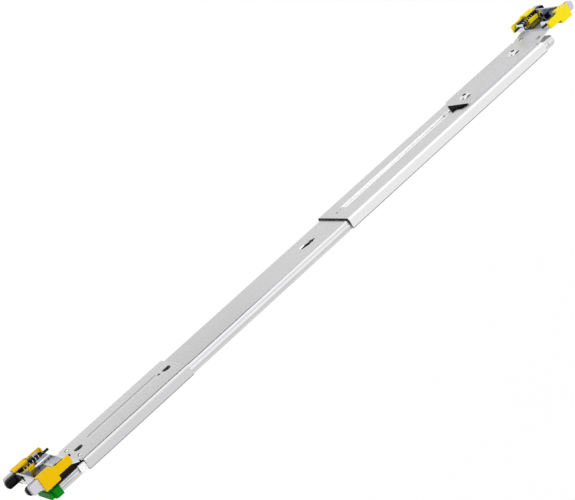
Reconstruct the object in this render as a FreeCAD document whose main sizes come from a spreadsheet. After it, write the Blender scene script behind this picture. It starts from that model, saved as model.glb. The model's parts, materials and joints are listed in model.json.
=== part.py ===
import FreeCAD, Part
import math
import os
import Sketcher

# Left-hand sliding rail for a rack server: a three-member ball-bearing slide between a fixed front
# mounting head and a rear mounting head that telescopes along the rail to suit the rack's depth.
# X points to the front of the rack, Y inward to the server and Z up.  The origin lies on the front
# mounting face, level with the outer face of the rail's web and half way between the square posts.

os.makedirs("parts", exist_ok=True)
doc = FreeCAD.newDocument("SlidingServerRail")
V = FreeCAD.Vector
AXIS_X, AXIS_Y, AXIS_Z = V(1, 0, 0), V(0, 1, 0), V(0, 0, 1)

# ------------------------------------------------------------------ driving dimensions, millimetres
SIZES = [
    # mounting
    ("mount_span", 730.0, "front mounting face to rear mounting face, rear bracket closed"),
    ("post_spacing", 44.45, "centre to centre of the two square posts, one rack unit"),
    ("post_offset", 11.5, "post centre line outward of the rail's web"),
    ("post_width", 9.2, "post across the rack, for a 9.5 mm square hole"),
    ("post_height", 8.2, "post and bolt together, up and down"),
    ("post_block", 4.6, "height of the fixed half of a post"),
    ("front_reach", 10.0, "front posts forward of the mounting face"),
    ("rear_reach", 8.0, "rear posts behind the mounting face"),
    ("post_corner", 2.4, "rounded corners of a post's tip"),
    ("post_seat", 0.4, "shallow seat of a post, coined into the mounting face"),
    ("face_half", 17.6, "half height of the flat mounting face between the post seats"),
    ("screw_level", 6.35, "rack screw hole below the middle of the head"),
    ("screw_bore", 5.0, "core diameter of the rack screw's M6 thread"),
    ("nut_barrel", 6.4, "barrel of the clinch nut for the rack screw"),
    ("nut_corner", 3.9, "clinch nut from its centre to a corner"),
    ("nut_height", 4.0, "clinch nut behind the head's inner channel"),
    ("post_screw", 2.9, "screw that holds a post"),
    ("screw_depth", 6.0, "screw in its post"),
    # rails
    ("rail_height", 46.0, "outer rail over its raceways"),
    ("rail_depth", 10.0, "outer rail from web to lips"),
    ("rail_gauge", 1.2, "sheet of the outer rail"),
    ("rail_front", 43.0, "outer rail's front end behind the front mounting face"),
    ("rail_rear", 32.0, "outer rail's rear end ahead of the rear mounting face"),
    ("rail_nose", 4.5, "rounded corner of the outer rail's flanges at the rear end"),
    ("race_radius", 1.7, "groove for the balls"),
    ("ball_diameter", 3.1, "bearing ball"),
    ("race_rise", 0.8, "raceway bead above the flat of the flange"),
    ("member_gap", 1.4, "between the webs of neighbouring members"),
    ("middle_front", 14.6, "intermediate rail's front end behind the front mounting face"),
    ("middle_length", 640.0, "intermediate rail"),
    ("middle_flange", 2.5, "flange of the intermediate rail"),
    ("chassis_length", 638.0, "chassis rail"),
    ("chassis_flange", 2.2, "flange of the chassis rail"),
    ("cage_length", 280.0, "ball retainer"),
    ("cage_gauge", 0.6, "sheet of a ball retainer"),
    ("ball_count", 6.0, "balls in each row"),
    ("stud_hole", 7.0, "keyhole entry for the server's studs"),
    ("stud_neck", 4.2, "keyhole neck"),
    ("stud_pitch", 150.0, "between keyholes"),
    ("stud_first", 80.0, "first keyhole behind the chassis rail's front end"),
    # brackets
    ("bracket_gauge", 1.5, "sheet of the brackets"),
    ("front_plate", 168.0, "front bracket's rear edge behind the mounting face"),
    ("front_window", 52.6, "first sight window behind the mounting face"),
    ("rear_window", 8.4, "second sight window ahead of the front bracket's rear edge"),
    ("window_width", 7.0, "sight window along the rail"),
    ("tell_tale", 3.0, "round hole at the rear end of the front bracket's rib"),
    ("mark_place", 336.5, "tail of the arrow-shaped opening behind the mounting face"),
    ("mark_length", 17.5, "arrow-shaped opening"),
    ("front_edge", 41.0, "front bracket's bend behind the mounting face"),
    ("head_depth", 30.5, "depth of a mounting head"),
    ("head_step", 5.0, "mounting head's side plate outward of the web"),
    ("head_out", 15.3, "outer edge of the head's walls"),
    ("head_wall", 20.0, "half height of a head's side plate"),
    ("guide_half", 16.0, "half height of the front rail guide"),
    ("frame_half", 12.0, "half height of a head's inner channel"),
    ("frame_wall", 24.0, "half height of a head's inner wall"),
    ("ledge_gauge", 1.1, "ledge at each end of the inner wall"),
    ("wall_gauge", 1.8, "end wall of a mounting head"),
    ("slide_gap", 0.3, "running clearance between moving sheets"),
    ("rear_front", 382.0, "rear bracket's front edge behind the front mounting face"),
    ("rear_fold", 48.0, "rear plate's fold ahead of the rear mounting face"),
    ("rear_plate_front", 570.0, "rear plate's front edge behind the front mounting face"),
    ("rear_plate_top", 19.0, "rear plate's upper edge above the middle"),
    ("slot_front", 400.0, "depth slot's front end"),
    ("slot_rear", 561.0, "depth slot's rear end"),
    ("slot_width", 4.4, "depth slot"),
    ("slot_level", 3.0, "depth slot below the middle"),
    ("pin_place", 5.0, "headed pin's centre ahead of the slot's rear end"),
    ("pin_head", 7.4, "head of the depth slot's pin"),
    ("eyelet_head", 13.0, "rolled head of a rear plate eyelet"),
    ("eyelet_shank", 7.0, "eyelet through the two rear sheets"),
    ("eyelet_bore", 4.4, "hole through an eyelet"),
    ("eyelet_pitch", 79.0, "between the two eyelets"),
    ("eyelet_first", 14.0, "first eyelet behind the rear plate's front edge"),
    ("gusset_hole", 5.6, "hole in the rear plate's fold"),
    # latches
    ("latch_gauge", 1.3, "sheet of a latch cover"),
    ("latch_head", 16.0, "length of a latch cover's head"),
    ("latch_inner", 3.3, "inner edge of the head from the web"),
    ("latch_skirt", 8.5, "height of the head's sides"),
    ("latch_stem", 16.5, "length of the finger tab"),
    ("latch_stem_width", 8.3, "width of the finger tab"),
    ("latch_gap", 0.3, "latch to neighbouring faces"),
    ("latch_travel", 8.0, "latch from its rest to its rear stop"),
    ("riser_front", 3.8, "front of the bolt's riser behind the mounting face"),
    ("riser_end", 8.2, "rear of the bolt's riser behind the mounting face"),
    ("slider_length", 9.0, "slider behind the riser"),
    ("slider_width", 4.0, "slider across the head"),
    ("slider_rise", 2.7, "slider inward of the bolt"),
    ("bolt_rim", 0.9, "wall round the hollow of a bolt"),
    ("bolt_tip", 2.0, "bolt's tip beyond its post"),
    ("rod_diameter", 2.4, "spring rod"),
    ("rod_level", 5.8, "spring rod in from the post's outer face"),
    ("spring_wire", 0.6, "wire of a latch spring"),
    ("spring_diameter", 4.2, "latch spring over its wire"),
    ("spring_turns", 6.0, "turns of a latch spring"),
    # release
    ("cap_length", 8.0, "front cap"),
    ("cap_bottom", 7.0, "front cap's lower edge above the middle"),
    ("cap_top", 20.0, "front cap's top above the middle"),
    ("cap_width", 8.4, "front cap"),
    ("lever_width", 7.0, "release lever"),
    ("lever_gauge", 2.2, "release lever"),
    ("lever_top", 18.0, "release lever's top above the middle"),
    ("lever_bottom", 9.0, "release lever's tip below the middle"),
    ("pin_diameter", 2.0, "lever pin"),
    ("pin_level", 14.0, "lever pin above the middle"),
]

sheet = doc.addObject("Spreadsheet::Sheet", "Sizes")
for row, (alias, value, meaning) in enumerate(SIZES, 1):
    sheet.set(f"A{row}", alias)
    sheet.set(f"B{row}", str(value))
    sheet.set(f"C{row}", meaning)
    sheet.setAlias(f"B{row}", alias)
doc.recompute()


def size(alias):
    """Value of one cell of the sheet, in millimetres."""
    return float(sheet.get(alias))


# ------------------------------------------------------------------------------- drawing helpers
def new_body(label):
    body = doc.addObject("PartDesign::Body", label)
    body.Label = label
    return body


def new_sketch(body, role, away="0"):
    """Sketch on one of the body's own planes, moved along its normal by an expression."""
    sketch = body.newObject("Sketcher::SketchObject", f"{body.Label}_sketch")
    sketch.AttachmentSupport = [(next(f for f in body.Origin.OriginFeatures if f.Role == role), "")]
    sketch.MapMode = "FlatFace"
    sketch.setExpression("AttachmentOffset.Base.z", away)
    return sketch


def draw_rectangle(sketch, left, right, low, high):
    """Rectangle whose four sides are bound to expressions."""
    first = sketch.GeometryCount
    corners = [V(-1, -1, 0), V(1, -1, 0), V(1, 1, 0), V(-1, 1, 0)]
    for side in range(4):
        sketch.addGeometry(Part.LineSegment(corners[side], corners[(side + 1) % 4]), False)
    for side in range(4):
        sketch.addConstraint(Sketcher.Constraint("Coincident", first + side, 2, first + (side + 1) % 4, 1))
    for side in (0, 2):
        sketch.addConstraint(Sketcher.Constraint("Horizontal", first + side))
        sketch.addConstraint(Sketcher.Constraint("Vertical", first + side + 1))
    bounds = (("DistanceX", 0, left), ("DistanceX", 2, right), ("DistanceY", 0, low), ("DistanceY", 2, high))
    for kind, side, expression in bounds:
        index = sketch.addConstraint(Sketcher.Constraint(kind, -1, 1, first + side, 1, 1.0))
        sketch.setExpression(f"Constraints[{index}]", expression)
    return sketch


def draw_circle(sketch, across, up, diameter):
    """Circle whose centre and diameter are bound to expressions."""
    index = sketch.addGeometry(Part.Circle(V(1, 1, 0), AXIS_Z, 1.0), False)
    for kind, expression in (("DistanceX", across), ("DistanceY", up)):
        place = sketch.addConstraint(Sketcher.Constraint(kind, -1, 1, index, 3, 1.0))
        sketch.setExpression(f"Constraints[{place}]", expression)
    girth = sketch.addConstraint(Sketcher.Constraint("Diameter", index, 2.0))
    sketch.setExpression(f"Constraints[{girth}]", diameter)
    return sketch


def draw_outline(sketch, path):
    """Closed outline: a corner is (x, y), and (x, y, via_x, via_y) is reached by an arc through via."""
    for here, there in zip(path, path[1:] + path[:1]):
        start, end = V(here[0], here[1], 0), V(there[0], there[1], 0)
        if len(there) == 4:
            sketch.addGeometry(Part.Arc(start, V(there[2], there[3], 0), end), False)
        else:
            sketch.addGeometry(Part.LineSegment(start, end), False)
    return sketch


def pad(body, sketch, length, backwards=False, both_ways=False):
    feature = body.newObject("PartDesign::Pad", f"{body.Label}_pad")
    feature.Profile = sketch
    feature.Reversed = backwards
    feature.Midplane = both_ways
    feature.setExpression("Length", length)
    return feature


def pocket(body, sketch, both_ways=True, length="1000", backwards=False):
    """Cut a sketch out of the body; the volume has to fall."""
    doc.recompute()
    before = body.Shape.Volume
    feature = body.newObject("PartDesign::Pocket", f"{body.Label}_pocket")
    feature.Profile = sketch
    feature.Midplane = both_ways
    feature.Reversed = backwards
    feature.setExpression("Length", length)
    doc.recompute()
    if not body.Shape.Volume < before - 1e-6:
        raise RuntimeError(f"a pocket in {body.Label} cut nothing")
    return feature


def dress(body, kind, picks, amount):
    """Fillet or chamfer the edges of the body that picks() accepts."""
    doc.recompute()
    names = [f"Edge{i}" for i, edge in enumerate(body.Shape.Edges, 1) if picks(edge)]
    if not names:
        raise RuntimeError(f"no edge to {kind} on {body.Label}")
    base = body.Tip
    feature = body.newObject(f"PartDesign::{kind}", f"{body.Label}_{kind}")
    feature.Base = (base, names)
    feature.setExpression("Radius" if kind == "Fillet" else "Size", amount)
    doc.recompute()
    return feature


def runs_along(edge, axis):
    if edge.Curve.TypeId != "Part::GeomLine":
        return False
    return abs(edge.Curve.Direction.dot(axis)) > 0.999


def solid(label, shape):
    """Piece shaped by Part's own functions from the sheet's values."""
    feature = doc.addObject("Part::Feature", label)
    feature.Label = label
    feature.Shape = shape
    return feature


def mirrored(label, source, axis, plane="0"):
    """The other-handed piece, mirrored in a plane square to the axis."""
    feature = doc.addObject("Part::Mirroring", label)
    feature.Label = label
    feature.Source = source
    feature.Normal = axis
    feature.setExpression("Base.x", plane)
    return feature


def cylinder(start, axis, diameter, length):
    return Part.makeCylinder(diameter / 2, length, start, axis)


# ------------------------------------------------------------------------------------ rail sections
gauge = size("rail_gauge")
half_height = size("rail_height") / 2
depth = size("rail_depth")
race = size("race_radius")
ball = size("ball_diameter")
gap = size("member_gap")
clear = size("slide_gap")
outer_rear = -(size("mount_span") - size("rail_rear"))
middle_web = gauge + gap
outer_race_y = middle_web + 3.0
outer_race_z = half_height - gauge - race
middle_top = outer_race_z - race + 1.0
middle_under = middle_top - size("middle_flange")
inner_race_y = outer_race_y + 1.0
inner_race_z = middle_under - 0.7
chassis_top = inner_race_z - 0.7
chassis_under = chassis_top - size("chassis_flange")
chassis_face = depth + 0.3


def both_flanges(upper):
    """Section of a channel: the upper half's outline, then its mirror image in reverse order."""
    lower = []
    for index in range(len(upper) - 1, -1, -1):
        point = upper[index]
        follows = upper[index + 1] if index + 1 < len(upper) else None
        if follows is not None and len(follows) == 4:
            lower.append((point[0], -point[1], follows[2], -follows[3]))
        else:
            lower.append((point[0], -point[1]))
    return upper + lower


def outer_section():
    """Web, rounded corner, flat, bead over the balls and a turned-down lip."""
    top = half_height - size("race_rise")
    under = top - gauge
    bend = gauge + 1.5
    bead = race + gauge
    bead_half = math.sqrt(bead ** 2 - (top - outer_race_z) ** 2)
    race_half = math.sqrt(race ** 2 - (under - outer_race_z) ** 2)
    lip = gauge + 0.2
    low = middle_top + 0.4
    turn = math.sqrt(0.5)
    return both_flanges([
        (0, top - bend),
        (bend, top, bend * (1 - turn), top - bend * (1 - turn)),
        (outer_race_y - bead_half, top),
        (outer_race_y + bead_half, top, outer_race_y, outer_race_z + bead),
        (depth - lip, top),
        (depth, top - lip, depth - lip * (1 - turn), top - lip * (1 - turn)),
        (depth, low),
        (depth - gauge, low),
        (depth - gauge, top - lip),
        (depth - lip, under, depth - gauge - 0.2 * (1 - turn), under - 0.2 * (1 - turn)),
        (outer_race_y + race_half, under),
        (outer_race_y - race_half, under, outer_race_y, outer_race_z + race),
        (bend, under),
        (gauge, top - bend, bend - (bend - gauge) * turn, top - bend + (bend - gauge) * turn),
    ])


def grooved(y, z, level, towards):
    """Half width and deepest point of a ball groove in a flat at the level."""
    half = math.sqrt(race ** 2 - (level - z) ** 2)
    return half, z + towards * race


def middle_section():
    """Channel with thick flanges, grooved on top for the outer balls and below for the inner ones."""
    upper_half, upper_deep = grooved(outer_race_y, outer_race_z, middle_top, -1)
    lower_half, lower_deep = grooved(inner_race_y, inner_race_z, middle_under, 1)
    tip = depth - 0.2
    web = middle_web + gauge
    round_corner = 1.3
    turn = round_corner * (1 - math.sqrt(0.5))
    return both_flanges([
        (middle_web, middle_top - round_corner),
        (middle_web + round_corner, middle_top, middle_web + turn, middle_top - turn),
        (outer_race_y - upper_half, middle_top),
        (outer_race_y + upper_half, middle_top, outer_race_y, upper_deep),
        (tip, middle_top),
        (tip, middle_under),
        (inner_race_y + lower_half, middle_under),
        (inner_race_y - lower_half, middle_under, inner_race_y, lower_deep),
        (web, middle_under),
    ])


def chassis_section():
    """Channel that faces outward, so that its web lies against the server's side."""
    half, deep = grooved(inner_race_y, inner_race_z, chassis_top, -1)
    tip = middle_web + gauge + 1.1
    return both_flanges([
        (chassis_face - gauge, chassis_under),
        (tip, chassis_under),
        (tip, chassis_top),
        (inner_race_y - half, chassis_top),
        (inner_race_y + half, chassis_top, inner_race_y, deep),
        (chassis_face, chassis_top),
    ])


def cage_section(web, arm_end, level):
    """Thin channel: a web between two members' webs and arms between their flanges."""
    sheet_half = size("cage_gauge") / 2
    return both_flanges([
        (web - sheet_half, level + sheet_half),
        (arm_end, level + sheet_half),
        (arm_end, level - sheet_half),
        (web + sheet_half, level - sheet_half),
    ])


def rail(label, section, front, length):
    """Channel along X whose front end is set back from the mounting face."""
    body = new_body(label)
    sketch = draw_outline(new_sketch(body, "YZ_Plane", f"-({front})"), section)
    pad(body, sketch, length, backwards=True)
    return body


# ---------------------------------------------------------------------------------- slide members
outer_length = size("mount_span") - size("rail_rear") - size("rail_front")
outer_rail = rail("outer_rail", outer_section(), "Sizes.rail_front",
                  "Sizes.mount_span - Sizes.rail_rear - Sizes.rail_front")
mark_tail = -size("mark_place")
mark_nose = mark_tail - size("mark_length")
mark_shoulder = (mark_tail + 2 * mark_nose) / 3
mark_level, mark_half, mark_shaft = 1.0, 3.7, 1.0
mark = new_sketch(outer_rail, "XZ_Plane")
draw_outline(mark, [
    (mark_nose, mark_level),
    (mark_shoulder, mark_level + mark_half),
    (mark_shoulder, mark_level + mark_shaft),
    (mark_tail, mark_level + mark_shaft),
    (mark_tail, mark_level - mark_shaft),
    (mark_shoulder, mark_level - mark_shaft),
    (mark_shoulder, mark_level - mark_half),
])
pocket(outer_rail, mark, length="10")
nose = size("rail_nose")
arc = nose * (1 - math.sqrt(0.5))
corner = new_sketch(outer_rail, "XY_Plane")
draw_outline(corner, [
    (outer_rear - 1, depth - nose),
    (outer_rear, depth - nose),
    (outer_rear + nose, depth, outer_rear + arc, depth - arc),
    (outer_rear + nose, depth + 1),
    (outer_rear - 1, depth + 1),
])
pocket(outer_rail, corner, length="2 * Sizes.rail_height")
vent_place, vent_width, vent_rise = 2 * nose, 1.4, 1.0          # narrow slot across each flange
vent = new_sketch(outer_rail, "XY_Plane")
draw_rectangle(vent, f"{outer_rear + vent_place}", f"{outer_rear + vent_place + vent_width}",
               f"{gauge + vent_rise}", f"{depth} / 2 + 1")
pocket(outer_rail, vent, length="2 * Sizes.rail_height")

middle_rail = rail("intermediate_rail", middle_section(), "Sizes.middle_front", "Sizes.middle_length")
chassis_rail = rail("chassis_rail", chassis_section(), "Sizes.middle_front", "Sizes.chassis_length")
keyholes = new_sketch(chassis_rail, "XZ_Plane")
stud_margin = 20.0                                          # sheet left behind the last keyhole
stud_count = int((size("chassis_length") - size("stud_first") - stud_margin) // size("stud_pitch")) + 1
for stud in range(stud_count):
    place = f"-Sizes.middle_front - Sizes.stud_first - {stud} * Sizes.stud_pitch"
    draw_circle(keyholes, place, "0", "Sizes.stud_hole")
pocket(chassis_rail, keyholes, length="100")
necks = new_sketch(chassis_rail, "XZ_Plane")
for stud in range(stud_count):
    place = f"-Sizes.middle_front - Sizes.stud_first - {stud} * Sizes.stud_pitch"
    draw_rectangle(necks, place, f"{place} + Sizes.stud_hole", "-Sizes.stud_neck / 2", "Sizes.stud_neck / 2")
pocket(chassis_rail, necks, length="100")


def ball_cage(label, section, middle_x, race_y, race_z):
    """Retainer with a round window for every ball, and the balls in two rows."""
    body = new_body(label + "_cage")
    length = size("cage_length")
    sketch = draw_outline(new_sketch(body, "YZ_Plane", f"{middle_x} + Sizes.cage_length / 2"), section)
    pad(body, sketch, "Sizes.cage_length", backwards=True)
    count = int(size("ball_count"))
    pitch = length / count
    windows = new_sketch(body, "XY_Plane")
    for index in range(count):
        place = middle_x + (index - (count - 1) / 2) * pitch
        draw_circle(windows, f"{place}", f"{race_y}", "Sizes.ball_diameter + 0.4")
    pocket(body, windows, length="Sizes.rail_height")
    balls = []
    for index in range(count):
        place = middle_x + (index - (count - 1) / 2) * pitch
        for level in (race_z, -race_z):
            balls.append(Part.makeSphere(ball / 2, V(place, race_y, level)))
    return body, solid(label + "_balls", Part.makeCompound(balls))


outer_lead, inner_lead = 20.0, 10.0                          # cages stand ahead of the middle when closed
outer_middle = -(size("rail_front") + outer_length / 2 - outer_lead)
inner_middle = -(size("middle_front") + size("middle_length") / 2 - inner_lead)
outer_cage, outer_balls = ball_cage("outer", cage_section(gauge + gap / 2, outer_race_y + 2.2, outer_race_z),
                                    outer_middle, outer_race_y, outer_race_z)
inner_web = middle_web + gauge + 0.55
inner_cage, inner_balls = ball_cage("inner", cage_section(inner_web, inner_race_y + 2.2, inner_race_z),
                                    inner_middle, inner_race_y, inner_race_z)

# ------------------------------------------------------------------------------- mounting brackets
wrap = size("bracket_gauge")
step = size("head_step")
head_depth = size("head_depth")
end_wall = size("wall_gauge")
out = size("head_out")
post_y = -size("post_offset")
post_z = size("post_spacing") / 2
post_top = post_z + size("post_height") / 2


def wrap_section(play):
    """Channel that hugs the outside of the outer rail with the given play."""
    top = half_height + play
    bend = 1.2 + wrap
    turn = 1 - math.sqrt(0.5)
    return both_flanges([
        (-play - wrap, top + wrap - bend),
        (bend - play - wrap, top + wrap, bend * turn - play - wrap, top + wrap - bend * turn),
        (depth - 0.6, top + wrap),
        (depth - 0.6, top),
        (bend - play - wrap, top),
        (-play, top + wrap - bend, bend - play - wrap - (bend - wrap) * (1 - turn),
         top + wrap - bend + (bend - wrap) * (1 - turn)),
    ])


bolt_low = post_z - size("post_height") / 2
bolt_high = post_top - size("post_block") - size("latch_gap")
bolt_out = out - 0.1
bolt_in = bolt_out - size("post_height")
riser_end = size("riser_end")
nut_barrel = size("nut_barrel")
nut_corner = size("nut_corner")
post_screw = size("post_screw")
screw_level = post_top - size("post_block") / 2
screw_z = -size("screw_level")
screw_y = post_y
rod_z = post_top - size("rod_level")
MID_PLANE = "-Sizes.mount_span / 2"
BOLT_FLOOR = "Sizes.post_spacing / 2 - Sizes.post_height / 2"
BOLT_ROOF = "Sizes.post_spacing / 2 + Sizes.post_height / 2 - Sizes.post_block - Sizes.latch_gap"


def add_head(body, face, way, fold, web_inner, tail):
    """Gusset, side plate and end wall of a mounting head, way being -1 behind the front face."""
    side = -step
    plan = [(end_wall, side), (head_depth, side), (fold, web_inner), (tail, web_inner),
            (tail, web_inner - wrap), (fold - 0.6, web_inner - wrap), (head_depth - 0.6, side - wrap),
            (end_wall, side - wrap)]
    sketch = draw_outline(new_sketch(body, "XY_Plane"), [(face + way * u, y) for u, y in plan])
    pad(body, sketch, "2 * Sizes.head_wall", both_ways=True)
    wall = new_sketch(body, "YZ_Plane", f"{face}")
    draw_rectangle(wall, "-Sizes.head_out", "-Sizes.head_step",
                   "-Sizes.post_spacing / 2 - Sizes.post_height / 2",
                   "Sizes.post_spacing / 2 + Sizes.post_height / 2")
    pad(body, wall, "Sizes.wall_gauge", backwards=way < 0)
    seats = new_sketch(body, "YZ_Plane", f"{face}")
    for low, high in (("Sizes.face_half", "Sizes.post_spacing / 2 + Sizes.post_height"),
                      ("-Sizes.post_spacing / 2 - Sizes.post_height", "-Sizes.face_half")):
        draw_rectangle(seats, "-Sizes.head_out - 1", "-Sizes.head_step + 1", low, high)
    pocket(body, seats, both_ways=False, length="Sizes.post_seat", backwards=way > 0)
    windows = new_sketch(body, "YZ_Plane", f"{face}")
    for low, high in ((f"{BOLT_FLOOR} - Sizes.latch_gap", f"{BOLT_ROOF} + Sizes.latch_gap"),
                      (f"-({BOLT_ROOF}) - Sizes.latch_gap", f"-({BOLT_FLOOR}) + Sizes.latch_gap")):
        draw_rectangle(windows, "-Sizes.head_out - 1", f"-{bolt_in} + Sizes.latch_gap", low, high)
    pocket(body, windows, length="2 * Sizes.wall_gauge + 2")
    bores = new_sketch(body, "YZ_Plane", f"{face}")
    draw_circle(bores, "-Sizes.post_offset", "-Sizes.screw_level", f"{nut_barrel} + 0.2")
    for level in (screw_level, -screw_level):
        draw_circle(bores, "-Sizes.post_offset", f"{level}", f"{post_screw} + 0.2")
    pocket(body, bores, length="2 * Sizes.wall_gauge + 2")
    return body


# front bracket: channel round the rail's end, with openings punched in its web
front_bracket = new_body("front_bracket")
channel = draw_outline(new_sketch(front_bracket, "YZ_Plane", "-Sizes.rail_front"), wrap_section(0.0))
pad(front_bracket, channel, "Sizes.front_plate - Sizes.rail_front", backwards=True)
add_head(front_bracket, 0.0, -1, size("front_edge"), 0.0, size("rail_front") + 1)
window_half = size("window_width") / 2
window_low, window_high = -3.7, 3.3
rib_low, rib_high, rib_rise = -2.1, -1.1, 0.4
rib_rear = -size("front_plate") + 17.0
rib_front = -size("front_window") - 13.0
for body in (front_bracket, outer_rail):
    punched = new_sketch(body, "XZ_Plane")
    for place in (-size("front_window"), -size("front_plate") + size("rear_window")):
        draw_outline(punched, [(place - window_half, window_low),
                               (place + window_half, window_low, place, window_high)])
    draw_circle(punched, f"{rib_rear}", f"{rib_low}", "Sizes.tell_tale")
    pocket(body, punched, length="4 * Sizes.bracket_gauge")
bead = new_sketch(front_bracket, "XZ_Plane", "Sizes.bracket_gauge")
draw_rectangle(bead, f"{rib_rear} + Sizes.tell_tale", f"{rib_front}", f"{rib_low}", f"{rib_high}")
pad(front_bracket, bead, f"{rib_rise}")


def add_frame(label, window=False):
    """Steel channel inside a head: inner wall with a ledge at each end, side and doubled end wall."""
    body = new_body(label)
    inner = -step - wrap
    thick = wrap
    plan = [(-end_wall, inner), (-end_wall, -out), (-end_wall - thick, -out),
            (-end_wall - thick, inner - thick),
            (-head_depth + thick, inner - thick), (-head_depth + thick, -out), (-head_depth, -out),
            (-head_depth, inner)]
    pad(body, draw_outline(new_sketch(body, "XY_Plane"), plan), "2 * Sizes.frame_half", both_ways=True)
    wall = new_sketch(body, "YZ_Plane", "-Sizes.head_depth")
    draw_rectangle(wall, "-Sizes.head_out", "-Sizes.head_step - Sizes.bracket_gauge",
                   "-Sizes.frame_wall", "Sizes.frame_wall")
    pad(body, wall, "Sizes.bracket_gauge")
    ledge_front = -riser_end - size("latch_travel") - size("latch_gap")
    ledge = [(ledge_front, inner), (ledge_front, -out), (-head_depth, -out), (-head_depth, inner)]
    pad(body, draw_outline(new_sketch(body, "XY_Plane", "Sizes.frame_wall - Sizes.ledge_gauge"), ledge),
        "Sizes.ledge_gauge")
    pad(body, draw_outline(new_sketch(body, "XY_Plane", "-Sizes.frame_wall"), ledge), "Sizes.ledge_gauge")
    round_by = 4.0
    turn = round_by * (1 - math.sqrt(0.5))
    corner = [(-head_depth - 1, -out + round_by), (-head_depth, -out + round_by),
              (-head_depth + round_by, -out, -head_depth + turn, -out + turn),
              (-head_depth + round_by, -out - 1), (-head_depth - 1, -out - 1)]
    pocket(body, draw_outline(new_sketch(body, "XY_Plane"), corner), length="4 * Sizes.frame_wall")
    if window:
        opening = new_sketch(body, "YZ_Plane", "-Sizes.head_depth")
        draw_rectangle(opening, "-Sizes.head_out - 1", f"{inner - thick}",
                       "-Sizes.frame_half - 1", "Sizes.frame_half + 1")
        pocket(body, opening, length="4 * Sizes.bracket_gauge")
    bores = new_sketch(body, "YZ_Plane", "-Sizes.head_depth")
    for level in (rod_z, -rod_z):
        draw_circle(bores, "-Sizes.post_offset", f"{level}", "Sizes.rod_diameter + 0.6")
    pocket(body, bores, length="4 * Sizes.bracket_gauge")
    bores = new_sketch(body, "YZ_Plane", "-Sizes.wall_gauge")
    draw_circle(bores, "-Sizes.post_offset", "-Sizes.screw_level", f"{nut_barrel} + 0.2")
    pocket(body, bores, length="4 * Sizes.bracket_gauge")
    return body


def add_nut(label):
    """Clinch nut for the rack screw: barrel in the end wall, flange on the frame's back."""
    flange = end_wall + size("bracket_gauge")
    shape = cylinder(V(0, screw_y, screw_z), -AXIS_X, nut_barrel, flange)
    turns = [math.radians(60 * k + 30) for k in range(7)]
    hexagon = Part.makePolygon([
        V(-flange, screw_y + nut_corner * math.cos(a), screw_z + nut_corner * math.sin(a)) for a in turns])
    shape = shape.fuse(Part.Face(hexagon).extrude(V(-size("nut_height"), 0, 0)))
    return solid(label, shape.cut(cylinder(V(1, screw_y, screw_z), -AXIS_X, size("screw_bore"), 20)))


def add_post(label, reach):
    """Fixed half of a square post, with rounded and chamfered tip."""
    body = new_body(label)
    floor = f"{BOLT_ROOF} + Sizes.latch_gap"
    plan = new_sketch(body, "XY_Plane", floor)
    draw_rectangle(plan, "-Sizes.post_seat", f"Sizes.{reach}", "-Sizes.post_offset - Sizes.post_width / 2",
                   "-Sizes.post_offset + Sizes.post_width / 2")
    pad(body, plan, "Sizes.post_block")
    far = size(reach)
    dress(body, "Fillet", lambda e: runs_along(e, AXIS_Z) and e.CenterOfMass.x > far - 0.1,
          "Sizes.post_corner")
    dress(body, "Chamfer", lambda e: abs(e.CenterOfMass.z - post_top) < 0.01 and e.CenterOfMass.x > 0.1,
          "0.5")
    bore = new_sketch(body, "YZ_Plane")
    draw_circle(bore, "-Sizes.post_offset", f"{screw_level}", f"{post_screw} + 0.2")
    pocket(body, bore, length="2 * (Sizes.screw_depth + 0.2)")
    return body


def add_post_screws(label):
    screws = []
    for level in (screw_level, -screw_level):
        seat = V(-end_wall, post_y, level)
        head = cylinder(seat, -AXIS_X, 4.2, 1.5).cut(cylinder(seat + V(-2.0, 0, 0), AXIS_X, 2.0, 1.2))
        screws.append(head.fuse(cylinder(seat, AXIS_X, post_screw, end_wall + size("screw_depth"))))
    return solid(label, Part.makeCompound(screws))


def add_cover(label):
    """Latch cover: a head that straddles the mounting head, and a finger tab behind it."""
    body = new_body(label)
    gap_face = size("latch_gap") + 0.2
    head_end = gap_face + size("latch_head")
    tab_end = head_end + size("latch_stem")
    thin = size("latch_gauge")
    head_out = out + size("latch_gap") + thin
    head_in = size("latch_inner")
    tab_out = out + size("latch_gap")
    tab_in = tab_out - size("latch_stem_width")
    roof = f"Sizes.post_spacing / 2 + Sizes.post_height / 2 + Sizes.latch_gap"
    plan = [(-gap_face, -head_in), (-head_end, -head_in), (-head_end, -tab_in), (-tab_end, -tab_in),
            (-tab_end, -tab_out), (-head_end - 2.4, -tab_out), (-head_end, -head_out), (-gap_face, -head_out)]
    pad(body, draw_outline(new_sketch(body, "XY_Plane", roof), plan), "Sizes.latch_gauge")
    dress(body, "Fillet", lambda e: runs_along(e, AXIS_Z) and (
        e.CenterOfMass.x < -tab_end + 0.1 or e.CenterOfMass.x > -head_end - 0.1
        and e.CenterOfMass.x < -1 and abs(e.CenterOfMass.y + head_in) < 0.1), "1.0")
    for inner_face, outer_face in ((head_in, head_in + thin), (head_out - thin, head_out)):
        skirt = new_sketch(body, "XY_Plane", roof)
        draw_rectangle(skirt, f"-{head_end - 1.2}", f"-{gap_face}", f"-{outer_face}", f"-{inner_face}")
        pad(body, skirt, "Sizes.latch_skirt - Sizes.latch_gauge", backwards=True)
    lip = new_sketch(body, "XY_Plane", roof)
    draw_rectangle(lip, f"-{tab_end}", f"-{tab_end - 1.2}", f"-{tab_out - 1.0}", f"-{tab_in + 1.0}")
    pad(body, lip, "1.6", backwards=True)
    return body


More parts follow.
